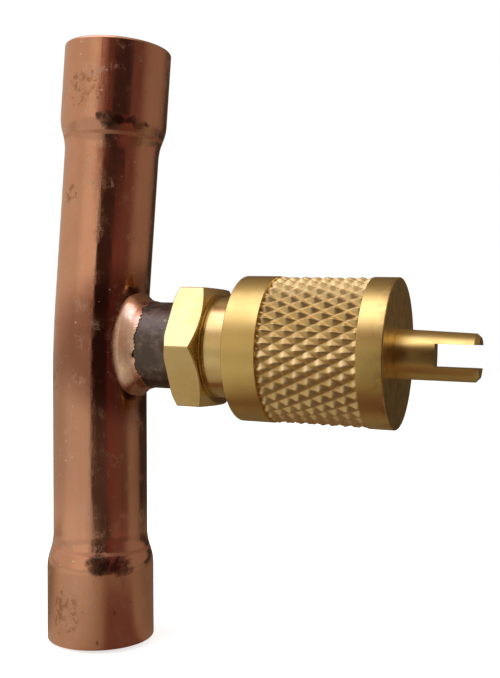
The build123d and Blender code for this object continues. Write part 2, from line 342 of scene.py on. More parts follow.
# %% Scratches: thin lines where a stretched noise crosses its middle value
scratches, start, end = new_group(
    "scratches", "ShaderNodeTree",
    {"Vector": ("Vector", None), "Squeeze": ("Vector", (1.0, 1.0, 0.05)),
     "Spacing": ("Float", 0.0002), "Cover": ("Float", 0.4)},
    {"Mask": ("Float", None), "Grain": ("Float", None)},
)
squeezed = scaled(scratches, start["Vector"], start["Squeeze"])
grain = fac_noise(scratches, squeezed, calc(scratches, "DIVIDE", 1.0, start["Spacing"]), 4.0, 0.7)
off_line = calc(scratches, "ABSOLUTE", calc(scratches, "SUBTRACT", grain, 0.5))
line = calc(scratches, "MAXIMUM", weighted(scratches, (off_line, -14.0), base=1.0), 0.0)
patches = fac_noise(scratches, start["Vector"], 420.0, 2.0)
edge = calc(scratches, "SUBTRACT", 1.0, start["Cover"])
shown = between(scratches, patches, edge, calc(scratches, "ADD", edge, 0.15))
scratches.links.new(product(scratches, line, shown), end["Mask"])
scratches.links.new(grain, end["Grain"])

# %% Lathe rings: a noise along the way that the tool went, out on a face or along a cylinder
lathe_rings, start, end = new_group(
    "lathe rings", "ShaderNodeTree",
    {"Vector": ("Vector", None), "Feed": ("Float", 0.00008)},
    {"Height": ("Float", None)},
)
along = xyz(lathe_rings, start["Vector"])[0]
off_axis = vector_calc(lathe_rings, "LENGTH", scaled(lathe_rings, start["Vector"], (0.0, 1.0, 1.0)))
turns = calc(lathe_rings, "DIVIDE", calc(lathe_rings, "ADD", along, off_axis), start["Feed"])
ring_noise = node(
    lathe_rings, "ShaderNodeTexNoise", {"W": turns, "Scale": 1.0, "Detail": 2.0, "Roughness": 0.6},
    noise_dimensions="1D",
).outputs[0]
lathe_rings.links.new(ring_noise, end["Height"])

# %% Specks: one in each cell of a Voronoi pattern, few of them large
specks, start, end = new_group(
    "specks", "ShaderNodeTree",
    {"Vector": ("Vector", None), "Spacing": ("Float", 0.0015), "Size": ("Float", 0.12)},
    {"Mask": ("Float", None)},
)
cells = node(specks, "ShaderNodeTexVoronoi", {
    "Vector": shaken(specks, start["Vector"], 4000.0, 1.0, (0.0001, 0.0001, 0.0001)),
    "Scale": calc(specks, "DIVIDE", 1.0, start["Spacing"])}).outputs
chance = xyz(specks, cells["Color"])[0]
own_size = product(specks, start["Size"], calc(specks, "POWER", chance, 3.0))
spot = between(specks, cells["Distance"], own_size, calc(specks, "MULTIPLY", own_size, 0.4))
specks.links.new(spot, end["Mask"])
print("shader groups:", [g.name for g in bpy.data.node_groups])

# %% [markdown]
# ## Materials
# Metals keep Metallic at 1, so their base colour is the colour of their reflections.


# %% Starting and ending a material
def finish(name, metallic=1.0, **sockets):
    made = bpy.data.materials.new(name)
    made.use_nodes = True
    tree = made.node_tree
    shader = tree.nodes["Principled BSDF"]
    shader.inputs["Metallic"].default_value = metallic
    for label, value in sockets.items():
        shader.inputs[label.replace("_", " ")].default_value = value
    place = tree.nodes.new("ShaderNodeTexCoord").outputs["Object"]
    return made, tree, place, shader.inputs


def connect(tree, into, colour, roughness, normal=None):
    """Links what a material's nodes worked out to its Principled shader."""
    for label, value in (("Base Color", colour), ("Roughness", roughness), ("Normal", normal)):
        if value is not None:
            tree.links.new(value, into[label])


def group(tree, kind, **inputs):
    made = tree.nodes.new("ShaderNodeGroup")
    made.node_tree = kind
    for label, value in inputs.items():
        if isinstance(value, bpy.types.NodeSocket):
            tree.links.new(value, made.inputs[label])
        else:
            made.inputs[label].default_value = value
    return made.outputs


def bumped(tree, height, distance, strength=1.0):
    return node(
        tree, "ShaderNodeBump", {"Height": height, "Distance": distance, "Strength": strength}
    ).outputs[0]


# %% [markdown]
# ### Copper
# The tube was drawn through a die and handled: it is a dull mirror with faint lines along its
# length, cloudier patches, brown specks and a few crossing scratches. Heat from brazing leaves it
# redder close to the branch and brown beside the joint, flux left dark stains at the swages, and
# the swaging tool left a matt ring where each socket starts. Each mark is a mask, and the colour,
# the roughness and the relief are then built up from the same masks.

# %% Marks on the copper
def near_to(tree, place, centre, radius, squash=1.0):
    """1 at a point given in millimetres, falling to 0 at radius, or at radius / squash along Z."""
    x, y, z = centre
    away = vector_calc(
        tree, "DISTANCE", scaled(tree, place, (1.0, 1.0, squash)), (x * MM, y * MM, z * MM * squash))
    return between(tree, away, radius * MM, 0.35 * radius * MM)


def broken_up(tree, areas, cloud, low, high):
    """Areas joined into one mask, its edge broken up by a cloudy value."""
    cover = areas[0]
    for area in areas[1:]:
        cover = calc(tree, "MAXIMUM", cover, area)
    return between(tree, product(tree, cover, cloud), low, high)


# Places on the front of the tube: a centre and a radius in millimetres, and how flat a stain lies.
STAINS = [
    ((3.0, -4.2, -21.7), 2.1, 1.1), ((4.7, -3.1, -21.9), 2.1, 1.3),
    ((3.0, -4.3, 21.8), 2.9, 2.5), ((4.7, -2.8, 21.6), 2.2, 2.4),
]
SCUFFS = [
    ((0.4, -5.2, 25.0), 4.2), ((0.0, -5.1, -26.5), 4.6), ((-1.6, -4.4, 15.0), 2.6),
    ((-3.0, -3.6, -4.0), 2.6),
]
BRANCH_X, SWAGE_RING_Z = 4.0, 20.65
copper, tree, place, into = finish("drawn_copper")
ragged = shaken(tree, place, 1000.0, 3.0, (2.2 * MM, 2.2 * MM, 1.6 * MM), (0.5, 0.5, 0.5))
blotch = fac_noise(tree, place, 1300.0, 4.0, 0.7)
stain = broken_up(
    tree, [near_to(tree, ragged, *where) for where in STAINS],
    fac_noise(tree, place, 700.0, 5.0, 0.7), 0.22, 0.56)
scuff = broken_up(tree, [near_to(tree, ragged, *where) for where in SCUFFS], blotch, 0.49, 0.60)
patch = group(tree, tarnish, Vector=place, Size=0.005, Cover=0.48)["Mask"]
fine_patch = group(tree, tarnish, Vector=place, Size=0.0012, Cover=0.42)["Mask"]
drawn = group(tree, scratches, Vector=place, Squeeze=(1.0, 1.0, 0.03), Spacing=0.00022, Cover=0.62)
nicks = group(tree, scratches, Vector=place, Squeeze=(0.4, 0.4, 1.0), Spacing=0.0009, Cover=0.40)["Mask"]
crossing = group(
    tree, scratches, Vector=ragged, Squeeze=(1.0, 1.0, 0.6), Spacing=0.0016, Cover=0.48)["Mask"]
dirt = group(
    tree, specks, Vector=scaled(tree, place, (1.0, 1.0, 0.6)), Spacing=0.0012, Size=0.20)["Mask"]
dust = group(
    tree, specks, Vector=scaled(tree, place, (1.0, 1.0, 1.3)), Spacing=0.0008, Size=0.26)["Mask"]
from_branch = vector_calc(tree, "DISTANCE", place, (BRANCH_X * MM, 0.0, 0.0))
heat = between(tree, from_branch, 10.5 * MM, 4.5 * MM)
scorch = between(tree, from_branch, 9.5 * MM, 6.0 * MM)
streak = between(tree, fac_noise(tree, scaled(tree, place, (1.0, 1.0, 0.04)), 520.0, 4.0), 0.40, 0.70)
up_tube = calc(tree, "ABSOLUTE", xyz(tree, place)[2])
off_ring = calc(tree, "ABSOLUTE", calc(tree, "SUBTRACT", up_tube, SWAGE_RING_Z * MM))
swage_ring = between(tree, off_ring, 0.26 * MM, 0.10 * MM)

# %% Colour, roughness and relief of the copper
colour = coated(
    tree, (0.91, 0.51, 0.37),
    (patch, 0.30, (0.77, 0.39, 0.27)), (streak, 0.20, (0.68, 0.33, 0.20)),
    (heat, 0.30, (0.74, 0.36, 0.25)), (scorch, 0.80, (0.27, 0.105, 0.07)),
    (scuff, 0.60, (0.40, 0.19, 0.11)), (dirt, 0.60, (0.28, 0.12, 0.08)),
    (stain, 0.85, (0.06, 0.025, 0.022)), (dust, 0.75, (0.93, 0.80, 0.74)),
    (crossing, 0.40, (0.95, 0.74, 0.62)),
)
roughness = weighted(
    tree, (swage_ring, 0.42), (patch, 0.05), (fine_patch, 0.05), (drawn["Mask"], 0.08),
    (scuff, 0.12), (dirt, 0.25), (stain, 0.2), (dust, 0.45), (crossing, 0.30), base=0.10)
wave = fac_noise(tree, scaled(tree, place, (1.0, 1.0, 0.35)), 260.0, 1.0)
relief = weighted(
    tree, (drawn["Grain"], 0.22), (drawn["Mask"], -0.4), (nicks, -1.6), (dirt, -0.8),
    (blotch, product(tree, scuff, -2.0)), (wave, 8.0))
connect(tree, into, colour, roughness, bumped(tree, relief, 0.0035 * MM))
print("copper:", len(tree.nodes), "nodes")

# %% [markdown]
# ### Brazing alloy
# Copper-phosphorus alloy flows pink and bright, and freezes with a slightly rippled skin. It is
# browner where it runs out thin on the tube, and above and below, where the flame went round it.

# %% Brazing alloy
alloy, tree, place, into = finish("brazing_alloy")
cloudy = group(tree, tarnish, Vector=place, Size=0.0016, Cover=0.5)["Mask"]
off_tube = vector_calc(tree, "LENGTH", scaled(tree, place, (1.0, 1.0, 0.0)))
foot = between(tree, off_tube, (TUBE_R + 0.55) * MM, (TUBE_R + 0.02) * MM)
thin = between(tree, calc(tree, "ABSOLUTE", xyz(tree, place)[2]), 3.0 * MM, 4.6 * MM)
colour = coated(
    tree, (0.95, 0.69, 0.56), (cloudy, 1.0, (0.87, 0.59, 0.46)), (foot, 0.85, (0.34, 0.15, 0.10)),
    (thin, 0.92, (0.52, 0.26, 0.165)))
roughness = weighted(tree, (cloudy, 0.08), (fac_noise(tree, place, 2500.0), 0.42), base=0.04)
connect(tree, into, colour, roughness, bumped(tree, fac_noise(tree, place, 900.0, 3.0), 0.012 * MM, 0.6))
print("brazing alloy:", len(tree.nodes), "nodes")

# %% [markdown]
# ### Brass
# The valve body, the cap and the core are machined brass, so one function starts all three. The
# body's spigot went dark in the brazing flame, with lighter scale here and there: behind the hexagon
# the same material turns to oxide, and in the corner in front of the hexagon the colour carries painted
# shade. The cap is tarnished towards its outer edge, and its knurl is more matt and painted a paler
# brass, a painted lift for the light that its shaded facets lack.

# %% Machined brass
BRASS_LIGHT, BRASS_DEEP = (0.86, 0.655, 0.255), (0.76, 0.54, 0.185)


def brass(name, feed, roughness, ring_depth, light=BRASS_LIGHT):
    """Brass with lathe rings feed apart, clouded by handling."""
    made, tree, place, into = finish(name)
    patch = group(tree, tarnish, Vector=place, Size=0.0028, Cover=0.46)["Mask"]
    fine = fac_noise(tree, place, 5200.0, 3.0)
    rings = group(tree, lathe_rings, Vector=place, Feed=feed)["Height"]
    colour = coated(tree, light, (patch, 0.35, BRASS_DEEP))
    rough = weighted(tree, (patch, 0.06), (fine, 0.08), (rings, 0.05), base=roughness)
    normal = bumped(tree, weighted(tree, (rings, 1.0), (fine, 0.25)), ring_depth * MM)
    return made, tree, place, into, colour, rough, normal


# %% Brass of the body, with the oxide on the spigot and painted shade in the hexagon's front corner
body_brass, tree, place, into, colour, rough, normal = brass(
    "body_brass", 0.00007, 0.17, 0.0016, (0.87, 0.69, 0.34))
x = xyz(tree, place)[0]
behind_hex = between(tree, x, (HEX_BACK_X + 0.10) * MM, (HEX_BACK_X + 0.02) * MM)
scale = group(tree, tarnish, Vector=place, Size=0.0009, Cover=0.44)["Mask"]
pale = group(tree, specks, Vector=place, Spacing=0.0007, Size=0.35)["Mask"]
oxide = coated(
    tree, (0.15, 0.125, 0.115), (scale, 1.0, (0.30, 0.25, 0.225)), (pale, 0.5, (0.50, 0.44, 0.40)))
off_axis = vector_calc(tree, "LENGTH", scaled(tree, place, (0.0, 1.0, 1.0)))
# Painted shade: the concave corner between the hexagon's front face and the relief is darkened in the
# colour, where shade falls.
painted_corner_shade = product(
    tree, between(tree, x, (HEX_FRONT_X + 0.30) * MM, (HEX_FRONT_X + 0.02) * MM),
    between(tree, off_axis, 5.15 * MM, 5.0 * MM))
colour = coated(tree, colour, (painted_corner_shade, 0.6, (0.36, 0.22, 0.07)))
oxide_rough = weighted(tree, (scale, 0.18), base=0.42)
rough = node(
    tree, "ShaderNodeMix", {0: behind_hex, 2: rough, 3: oxide_rough}, data_type="FLOAT").outputs[0]
crust = weighted(tree, (scale, 1.0), (pale, 0.8), (fac_noise(tree, place, 3800.0), 0.8))
normal = node(
    tree, "ShaderNodeMix", {0: behind_hex, 4: normal, 5: bumped(tree, crust, 0.02 * MM)},
    data_type="VECTOR").outputs[1]
connect(tree, into, mixed(tree, behind_hex, colour, oxide), rough, normal)

# %% Brass of the cap, with its edge and its knurl
cap_brass, tree, place, into, colour, rough, normal = brass("cap_brass", 0.00011, 0.25, 0.0022)
x = xyz(tree, place)[0]


def band(start, full, fading, end):
    """1 between two places along the cap, with a soft edge on either side."""
    return product(
        tree, between(tree, x, start * MM, full * MM), between(tree, x, end * MM, fading * MM))


by_edge = product(
    tree, band(CAP_END_X - 1.7, CAP_END_X - 0.1, CAP_END_X + 0.02, CAP_END_X + 0.08),
    between(tree, fac_noise(tree, place, 900.0, 5.0, 0.7), 0.42, 0.62))
rolled = band(KNURL_START_X, KNURL_START_X + 0.05, KNURL_END_X - 0.05, KNURL_END_X)
# Painted light: the knurl band is painted a paler brass, a painted lift standing in for light on its
# shaded facets; it is also made rougher.
colour = coated(tree, colour, (by_edge, 0.55, (0.52, 0.33, 0.13)), (rolled, 0.5, (0.96, 0.80, 0.50)))
connect(tree, into, colour, weighted(tree, (rolled, 0.14), base=rough), normal)

# %% Brass of the core
core_brass, tree, place, into, colour, rough, normal = brass("core_brass", 0.00006, 0.22, 0.001)
connect(tree, into, colour, rough, normal)

# %% [markdown]
# ### Seal, gasket and spring
# The cap's seal is black rubber with a dry bloom, the core's gasket is red PTFE, and the
# spring is drawn steel wire.

# %% Rubber, PTFE and steel
rubber, tree, place, into = finish("seal_rubber", 0.0)
bloom = group(tree, tarnish, Vector=place, Size=0.0008, Cover=0.4)["Mask"]
connect(
    tree, into, mixed(tree, bloom, (0.022, 0.022, 0.023), (0.055, 0.053, 0.05)),
    weighted(tree, (bloom, 0.2), base=0.55), bumped(tree, fac_noise(tree, place, 6000.0), 0.01 * MM))

ptfe, tree, place, into = finish("red_ptfe", 0.0)
waxy = group(tree, tarnish, Vector=place, Size=0.0007, Cover=0.5)["Mask"]
connect(
    tree, into, mixed(tree, waxy, (0.62, 0.075, 0.055), (0.50, 0.05, 0.04)),
    weighted(tree, (waxy, 0.15), base=0.35))

wire, tree, place, into = finish("spring_wire")
die_lines = group(
    tree, scratches, Vector=place, Squeeze=(1.0, 1.0, 1.0), Spacing=0.0001, Cover=0.6)["Mask"]
connect(
    tree, into, mixed(tree, die_lines, (0.60, 0.60, 0.58), (0.42, 0.42, 0.41)),
    weighted(tree, (die_lines, 0.2), base=0.25))
print("materials:", [m.name for m in bpy.data.materials])

# %% [markdown]
# ## Copper tube
# A straight piece of 3/8 inch tube, swaged to a socket at each end so that the same tube slides in.
# Each half leans a little towards the valve, which is what the heat of brazing does. The wall is one
# outline of radius against distance along the bent axis, swept round it ring by ring.


# %% Tube with its two swaged sockets
def tube_ring(radius, s):
    """Circle round the bent axis at signed distance s from the branch."""
    bend_r = BEND_TANGENT / math.tan(LEAN)
    lean = max(-1.0, min(1.0, s / BEND_TANGENT)) * LEAN
    if abs(s) < BEND_TANGENT:
        centre = (bend_r / math.cos(LEAN) - bend_r * math.cos(lean), 0, bend_r * math.sin(lean))
    else:
        centre = (abs(s) * math.sin(LEAN), 0, s * math.cos(LEAN))
    around = np.radians(EVEN)
    out = radius * np.cos(around)
    ring = np.column_stack([out * math.cos(lean), radius * np.sin(around), -out * math.sin(lean)])
    return ring + np.array(centre)


def filled(outline, step):
    """The outline with points added wherever two lie more than step apart."""
    points = [outline[0]]
    for last, here in zip(outline, outline[1:]):
        parts = max(1, math.ceil((here - last).length / step))
        points += [last.lerp(here, k / parts) for k in range(1, parts + 1)]
    return points


END_S, WALL_STEP = HALF_LENGTH - 0.012, 0.6
floor_s = HALF_LENGTH - SOCKET_DEPTH
swage_s = floor_s - SWAGE_LENGTH
half_out = [(swage_s, TUBE_R, 5.5), (floor_s, SOCKET_R, 4.5), (END_S, SOCKET_R, 0.52)]
half_in = [(END_S, SOCKET_BORE_R, 0.04), (floor_s, SOCKET_BORE_R, 0.3), (swage_s, TUBE_BORE_R, 1.0)]
upper_half = half_out + half_in
lower_half = [(-s, r, rounding) for s, r, rounding in reversed(upper_half)]
wall = soften(lower_half[3:] + upper_half + lower_half[:3], loop=True)
wall = filled(wall + wall[:1], WALL_STEP)[:-1]
rings = [tube_ring(r, s) for s, r in wall]
piece("tube", *skin(rings, loop=True), copper, "fitting", "copper", ["copper_tube"])

# %% [markdown]
# ## Brazed joint
# The alloy creeps up the spigot and freezes in a hollow fillet with a ragged rim. The fillet is a
# loft of ovals across the valve's axis, as in the CAD part, and noise eats teeth into its rim. Each
# profile, from the tube to the rim, is worked out for one angle round the valve's axis.

# %% Ovals of the fillet, and its rim
FOOT_R, RIM_R = 3.30, 4.40
FOOT_X, RIM_X = math.sqrt(TUBE_R**2 - FOOT_R**2), SPIGOT_X + 0.125
OVALS = [
    (-0.08, 0.10, 0.740), (0.10, 0.08, 0.577), (0.28, 0.22, 0.409), (0.50, 0.46, 0.205),
    (0.71, 0.72, 0.070), (0.87, 0.90, 0.019), (1.00, 1.000, 0.000),
]


def oval_at(t):
    """Place, spread and reach between the listed ovals, with a smooth curve through them."""
    at = t * (len(OVALS) - 1)
    i = min(int(at), len(OVALS) - 2)
    p = [np.array(OVALS[max(0, min(len(OVALS) - 1, i + k))]) for k in (-1, 0, 1, 2)]
    u = at - i
    return 0.5 * (2 * p[1] + (p[2] - p[0]) * u + (2 * p[0] - 5 * p[1] + 4 * p[2] - p[3]) * u**2
                  + (3 * p[1] - p[0] - 3 * p[2] + p[3]) * u**3)


def rim_tooth(angle, seed=4.0):
    """How far the rim runs on at this angle: slow waves, and a few pointed teeth."""
    turn = Vector((math.cos(angle), math.sin(angle), seed))
    slow = noise.noise(turn * 2.2)
    teeth = max(0.0, 1 - 3 * abs(noise.noise(turn * 5.5)))
    fine = max(0.0, 1 - 4 * abs(noise.noise(turn * 12.0)))
    return 0.20 * slow + 0.30 * teeth + 0.12 * fine - 0.18


def on_tube(y, under=0.0):
    return math.sqrt(max(0.0, (TUBE_R - under) ** 2 - y * y))


def alloy_point(t, angle, sunk=0.0):
    """Point of the fillet at this angle, from its foot (0) to its rim (1)."""
    place, spread, reach = oval_at(t)
    across = FOOT_R + (RIM_R - FOOT_R) * spread - sunk
    along = RIM_R + SPIGOT_R * reach - sunk
    x = FOOT_X + (RIM_X - FOOT_X) * place + rim_tooth(angle) * max(0.0, 3 * t - 2) ** 2
    return np.array([x, across * math.cos(angle), along * math.sin(angle)])


# %% Fillet of brazing alloy
TRIAL_POINTS, BLEND_RINGS, FILLET_RINGS, INNER_RINGS = 90, 14, 40, 12
FOOT_BLEND, ALLOY_WALL, FOOT_SUNK, UNDER_TUBE = 0.62, 0.25, 0.004, 0.2
RIM_TURNS_IN = [(0.9875, 0.035), (0.968, 0.03)]


def alloy_profile(angle):
    """Points from the tube to the rim, with a soft bend where the fillet leaves the tube."""
    line = [alloy_point(t, angle) for t in np.linspace(0, 1, TRIAL_POINTS)]
    proud = [p[0] - on_tube(p[1]) for p in line]
    first = next(i for i, h in enumerate(proud) if h > 0)
    share = proud[first] / (proud[first] - proud[first - 1]) if first else 0.0
    corner = line[first] + (line[first - 1] - line[first]) * share
    far = math.hypot(corner[1], corner[2])
    y, z = corner[1] * (1 + FOOT_BLEND / far), corner[2] * (1 + FOOT_BLEND / far)
    foot = np.array([on_tube(y, FOOT_SUNK), y, z])
    gone = [np.linalg.norm(p - corner) for p in line]
    leave = next(i for i in range(first, TRIAL_POINTS) if gone[i] > FOOT_BLEND)
    share = (gone[leave] - FOOT_BLEND) / max(1e-9, gone[leave] - gone[leave - 1])
    t_leave = (leave - min(1.0, max(0.0, share))) / (TRIAL_POINTS - 1)
    end = alloy_point(t_leave, angle)
    points = [
        foot * (1 - u) ** 2 + corner * 2 * u * (1 - u) + end * u * u
        for u in np.linspace(0, 1, BLEND_RINGS)
    ]
    points += [alloy_point(t, angle) for t in np.linspace(t_leave, 1, FILLET_RINGS)[1:]]
    return [foot - (ALLOY_WALL, 0, 0)] + points


alloy_angles = np.radians(np.linspace(0, 360, 420, endpoint=False))
outer = [np.array(ring) for ring in zip(*(alloy_profile(angle) for angle in alloy_angles))]
rim = [outer[-1] * (1, shrink, shrink) + (further, 0, 0) for shrink, further in RIM_TURNS_IN]
inner = []
for t in np.linspace(1, 0, INNER_RINGS):
    ring = np.array([alloy_point(t, angle, ALLOY_WALL) for angle in alloy_angles])
    ring[:, 0] = np.maximum(ring[:, 0], [on_tube(y, UNDER_TUBE) for y in ring[:, 1]])
    inner.append(ring)
inner[0][:, 0] = np.minimum(inner[0][:, 0], rim[-1][:, 0] - 0.05)
rings = outer + rim + inner
piece("braze", *skin(rings, loop=True), alloy, "fitting", "brazing_alloy", ["braze_fillet"])

# %% [markdown]
# ## Valve body
# The body is turned from hexagon bar. Seen along its axis every ring is a circle, except on the
# wrench hexagon, where the radius is the smallest of six flats and two chamfer cones. A soft
# minimum of those rounds all the edges between them by the same small amount.

# %% Rings of the wrench hexagon
PER_CORNER = 44
CHAMFER_SLOPE, BACK_CHAMFER, FRONT_CHAMFER = math.tan(math.radians(30)), 0.28, -0.25
FLAT_EDGE, CHAMFER_EDGE = 0.11, 0.10
steps = np.linspace(-1, 1, PER_CORNER, endpoint=False)
near_corner = np.sign(steps) * steps**2 * 30
hex_angles = np.concatenate([near_corner + 60 * k for k in range(6)]) % 360


def soft_min(a, b, width):
    h = np.maximum(width - np.abs(a - b), 0) / width
    return np.minimum(a, b) - h * h * width / 4


def hex_ring(x, inset=0.0):
    """Ring of the hexagon at x, where every angle has its own radius."""
    to_flat = np.radians((hex_angles + 30) % 60 - 30)
    left = HEX_APOTHEM / np.cos(to_flat - math.radians(30))
    right = HEX_APOTHEM / np.cos(to_flat + math.radians(30))
    radius = soft_min(left, right, FLAT_EDGE)
    for start, depth in ((FRONT_CHAMFER, HEX_FRONT_X - x), (BACK_CHAMFER, x - HEX_BACK_X)):
        radius = soft_min(radius, HEX_APOTHEM + start + depth / CHAMFER_SLOPE, CHAMFER_EDGE)
    return ring_round_x(x, radius - inset, np.radians(hex_angles))


BACK_EDGE = [(0.0, 0.14), (0.0, 0.10), (0.02, 0.045), (0.05, 0.012), (0.10, 0.0)]
FRONT_EDGE = [(0.10, 0.0), (0.05, 0.012), (0.02, 0.035), (0.0, 0.08), (0.0, 0.12)]
CHAMFER_DEPTH = 0.75
flats = np.concatenate([
    np.linspace(HEX_BACK_X + 0.13, HEX_BACK_X + 0.45, 12),
    np.linspace(HEX_BACK_X + 0.6, HEX_FRONT_X - CHAMFER_DEPTH, 5)[:-1],
    np.linspace(HEX_FRONT_X - CHAMFER_DEPTH, HEX_FRONT_X - 0.13, 22),
])
hex_rings = [hex_ring(HEX_BACK_X + depth, inset) for depth, inset in BACK_EDGE]
hex_rings += [hex_ring(x) for x in flats]
hex_rings += [hex_ring(HEX_FRONT_X - depth, inset) for depth, inset in FRONT_EDGE]
print("hexagon:", len(hex_rings), "rings of", len(hex_angles), "points")

# %% Valve body
THREAD_TIP_R, MOUTH_DEPTH = 5.25, 0.30
back_half = soften([
    (PILOT_X, PASSAGE_R, 0), (PILOT_X, PILOT_R, 0.15), (SHOULDER_X, PILOT_R, 0.1),
    (SPIGOT_X, SPIGOT_R, 0.2), (HEX_BACK_X, SPIGOT_R, 0.12), (HEX_BACK_X, HEX_FACE_R, 0),
])
front_half = soften([
    (HEX_FRONT_X, HEX_FACE_R, 0), (HEX_FRONT_X, RELIEF_R, 0.10), (THREAD_START_X, RELIEF_R, 0.10),
    (THREAD_START_X + 0.1, THREAD_ROOT_R, 0.05), (THREAD_END_X - 0.3, THREAD_ROOT_R, 0.05),
    (THREAD_END_X, THREAD_TIP_R, 0.12), (NOSE_X - 0.02, NOSE_R, 0.06), (NOSE_X, NOSE_R - 0.03, 0.03),
    (NOSE_X, MOUTH_R, 0.04), (NOSE_X - MOUTH_DEPTH, PORT_R, 0.05), (PORT_FLOOR_X, PORT_R, 0.05),
    (BARREL_X, BARREL_R, 0.05), (BARREL_END_X, BARREL_R, 0.05), (PASSAGE_X, PASSAGE_R, 0.05),
    (PILOT_X, PASSAGE_R, 0.05),
])[:-1]
rings = turned_rings(back_half, hex_angles) + hex_rings + turned_rings(front_half, hex_angles)
piece("body", *skin(rings, loop=True), body_brass, "fitting", "body_brass", ["valve_body"])

# %% [markdown]
# ## Thread of the port
# A thread is one tooth swept along a helix, so a small geometry tree makes it: a spiral curve, a
# trapezoid for the tooth, and Curve to Mesh. The tooth shrinks to nothing at both ends, as a
# cutting die leaves it.

# %% Geometry tree for a thread
threads, start, end = new_group(
    "thread", "GeometryNodeTree",
    {"Geometry": ("Geometry", None), "Root Radius": ("Float", 0.005), "Pitch": ("Float", 0.00127),
     "Turns": ("Float", 6.0), "Depth": ("Float", 0.0007), "Start": ("Float", 0.0),
     "Tooth Foot": ("Float", 0.0012), "Tooth Crest": ("Float", 0.0002), "Material": ("Material", None)},
    {"Geometry": ("Geometry", None)},
)
spiral = node(threads, "GeometryNodeCurveSpiral", {
    "Resolution": 96, "Rotations": start["Turns"], "Start Radius": start["Root Radius"],
    "End Radius": start["Root Radius"], "Height": product(threads, start["Pitch"], start["Turns"]),
}).outputs[0]
upright = node(threads, "GeometryNodeSetCurveNormal", {"Curve": spiral}, mode="Z_UP").outputs[0]
share = node(threads, "GeometryNodeSplineParameter").outputs["Factor"]
from_end = product(threads, start["Turns"], calc(
    threads, "MINIMUM", share, calc(threads, "SUBTRACT", 1.0, share)))
run_out = between(threads, from_end, 0.0, 0.45, 0.02, 1.0)
shrunk = node(threads, "GeometryNodeSetCurveRadius", {"Curve": upright, "Radius": run_out}).outputs[0]
tooth = node(threads, "GeometryNodeCurvePrimitiveQuadrilateral", {
    "Bottom Width": start["Tooth Foot"], "Top Width": start["Tooth Crest"], "Height": start["Depth"],
    "Offset": 0.0,
}, mode="TRAPEZOID").outputs[0]
standing = node(threads, "GeometryNodeTransform", {
    "Geometry": tooth, "Rotation": (0.0, 0.0, -math.pi / 2),
    "Translation": vector_of(threads, product(threads, start["Depth"], 0.42)),
}).outputs[0]
swept = node(threads, "GeometryNodeCurveToMesh", {
    "Curve": shrunk, "Profile Curve": standing, "Fill Caps": True}).outputs[0]
laid = node(threads, "GeometryNodeTransform", {
    "Geometry": swept, "Rotation": (0.0, math.pi / 2, 0.0),
    "Translation": vector_of(threads, start["Start"]),
}).outputs[0]
real = node(threads, "GeometryNodeRealizeInstances", {"Geometry": laid}).outputs[0]
painted = node(threads, "GeometryNodeSetMaterial", {"Geometry": real, "Material": start["Material"]})
threads.links.new(painted.outputs[0], end["Geometry"])


# %% Port thread
def grown(name, tree, material, body, values, finishing=None):
    """Runs a geometry tree, turns its result into a plain mesh and makes that a piece."""
    carrier = placed(name + "_carrier", bpy.data.meshes.new(name + "_seed"))
    modifier = carrier.modifiers.new("grow", "NODES")
    modifier.node_group = tree
    ids = {item.name: item.identifier for item in tree.interface.items_tree if item.in_out == "INPUT"}
    for label, value in {**values, "Material": material}.items():
        modifier[ids[label]] = value
    graph = bpy.context.evaluated_depsgraph_get()
    mesh = bpy.data.meshes.new_from_object(carrier.evaluated_get(graph))
    mesh.name = name
    bpy.data.objects.remove(carrier)
    if finishing:
        finishing(mesh)
    return adopt(name, mesh, material, body)


SINK, RUN_IN, TURNS, TOOTH_FOOT, TOOTH_CREST = 0.02, 0.55, 6.0, 1.20, 0.22
grown("port_thread", threads, body_brass, "fitting", {
    "Root Radius": (THREAD_ROOT_R - SINK) * MM, "Pitch": THREAD_PITCH * MM, "Turns": TURNS,
    "Depth": (THREAD_R - THREAD_ROOT_R + SINK) * MM, "Start": (THREAD_START_X + RUN_IN) * MM,
    "Tooth Foot": TOOTH_FOOT * MM, "Tooth Crest": TOOTH_CREST * MM})

# %% [markdown]
# ## Service cap
# The cap is turned, and its middle band is knurled: two sets of grooves rolled at opposite slants
# leave rows of pointed diamonds. The plain form is one outline, with a bed for the knurled sleeve.

# %% Turned form of the cap
BED_R = CAP_R - 0.675
MOUTH_CHAMFER, RECESS_DEPTH, RECESS_TIP = 0.30, 1.30, 1.80
outline = soften([
    (CAP_END_X, 0, 0), (CAP_END_X, CAP_R, 0.11), (KNURL_END_X, CAP_R, 0.05), (KNURL_END_X, BED_R, 0.02),
    (KNURL_START_X, BED_R, 0.02), (KNURL_START_X, CAP_R, 0.05), (CAP_OPEN_X, CAP_R, 0.12),
    (CAP_OPEN_X, CAP_BORE_R + MOUTH_CHAMFER, 0.05), (CAP_OPEN_X + MOUTH_CHAMFER, CAP_BORE_R, 0.05),
    (CAP_FLOOR_X, CAP_BORE_R, 0.1), (CAP_FLOOR_X, RECESS_R, 0.05),
    (CAP_FLOOR_X + RECESS_DEPTH, RECESS_R, 0.1), (CAP_FLOOR_X + RECESS_TIP, 0, 0),
])
piece("cap", *skin(turned_rings(outline, EVEN)), cap_brass, "cap", "cap_brass", ["service_cap"])

# %% [markdown]
# ## Knurl
# One diamond is a four-sided cone with a blunt tip, its corners along and round the cap. The tree
# sets one diamond on each place of a flat lattice, makes them real and welds them. Then it wears
# them: the faces are divided and their points blurred, which rounds the crests as a roller leaves
# them, but not at the valley floors, which stay crisp. Last it rolls the flat strip round the cap.
# The sleeve is finished in the mesh: cut off square at both ends and closed inside.

